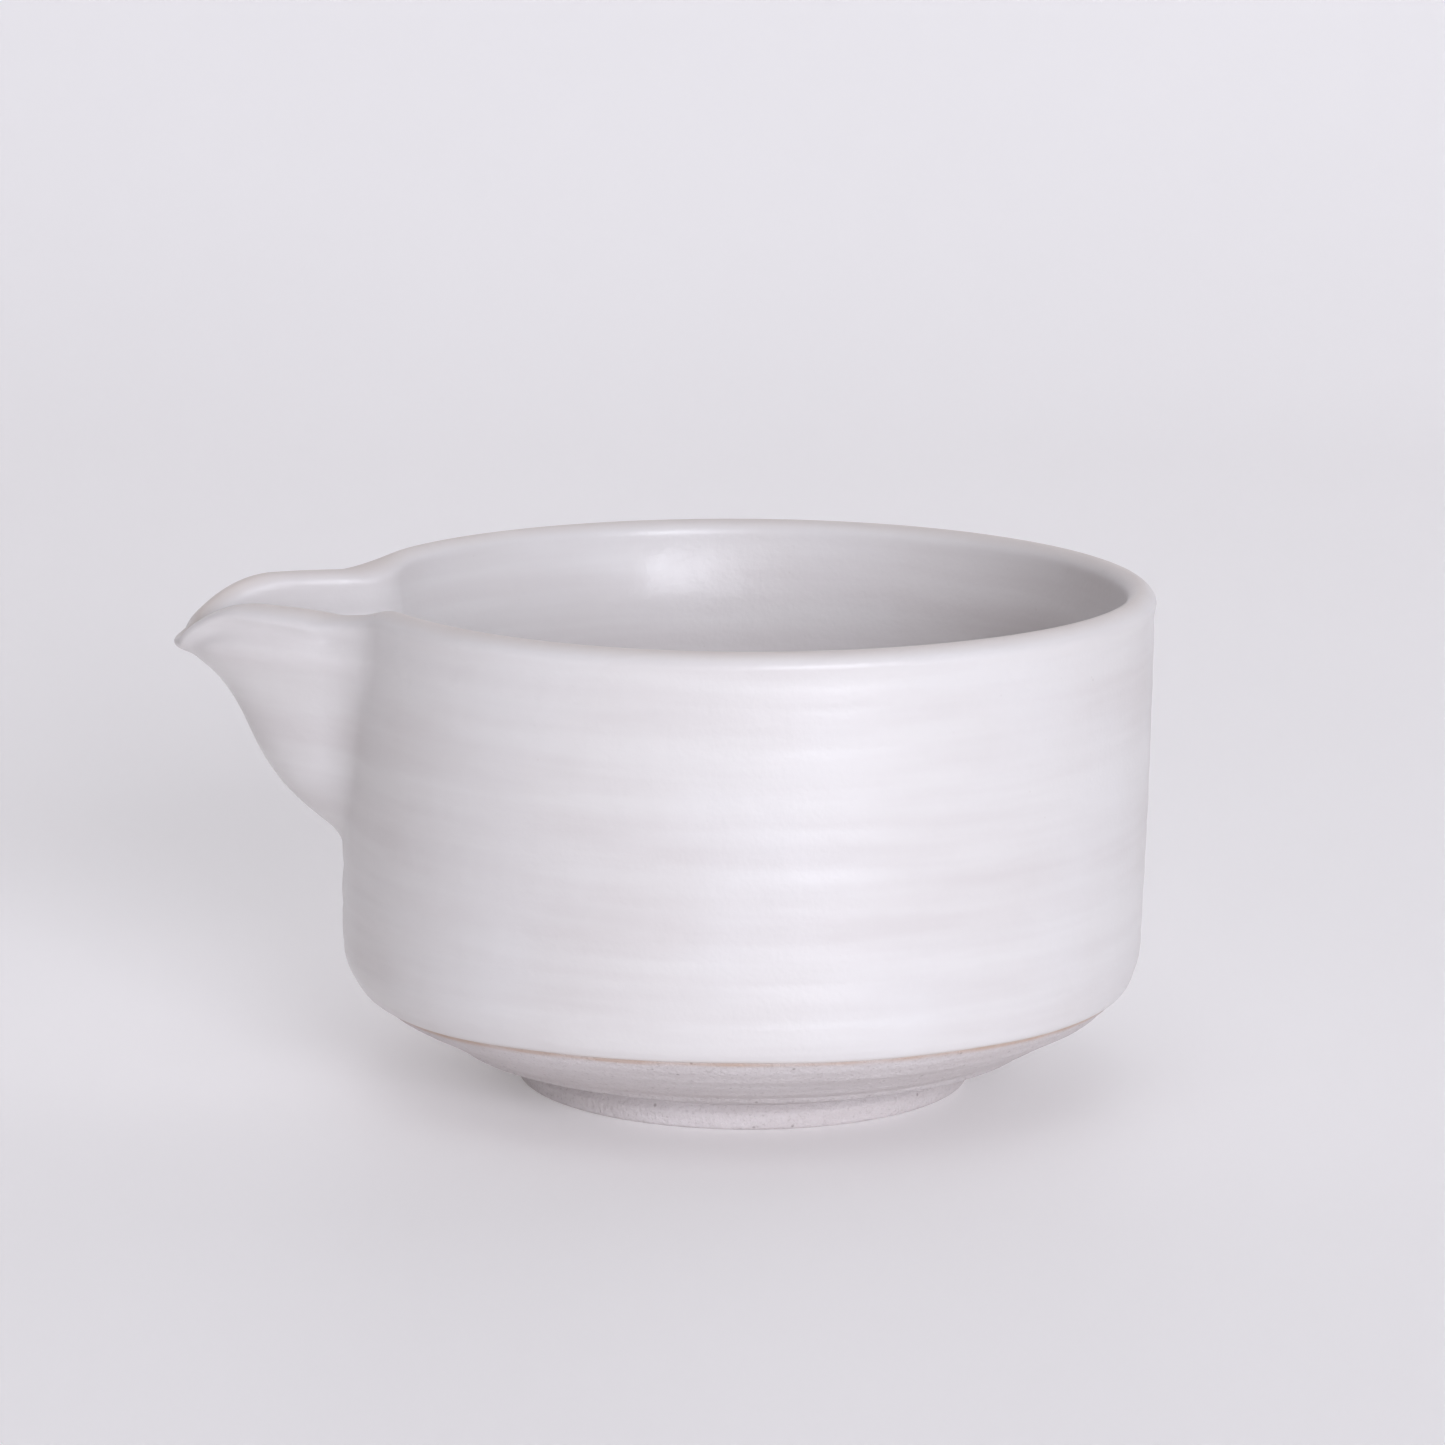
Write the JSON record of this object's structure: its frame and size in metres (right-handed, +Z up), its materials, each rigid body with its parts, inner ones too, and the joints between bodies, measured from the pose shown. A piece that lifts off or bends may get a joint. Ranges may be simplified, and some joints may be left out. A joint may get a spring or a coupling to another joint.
{
  "type": "spouted bowl",
  "caption": "Straight-sided glazed stoneware bowl with a pulled pouring spout on its wall and a low bare foot ring, for mixing and pouring.",
  "frame": {"origin": "the middle of the circle that the foot ring stands on", "axes": "+Z up along the bowl's axis, the spout points along -X, +X along the longest side of the box"},
  "size_m": [0.1442, 0.12, 0.075],
  "materials": {
    "bare_clay": "matte, unglazed stoneware",
    "white_glaze": "satin white glaze"
  },
  "bodies": {
    "root": {"bowl_body": "bare_clay", "foot_ring": "bare_clay", "pouring_spout": "bare_clay", "outer_glaze": "white_glaze", "inner_glaze": "white_glaze", "spout_glaze": "white_glaze"}
  },
  "joints": []
}
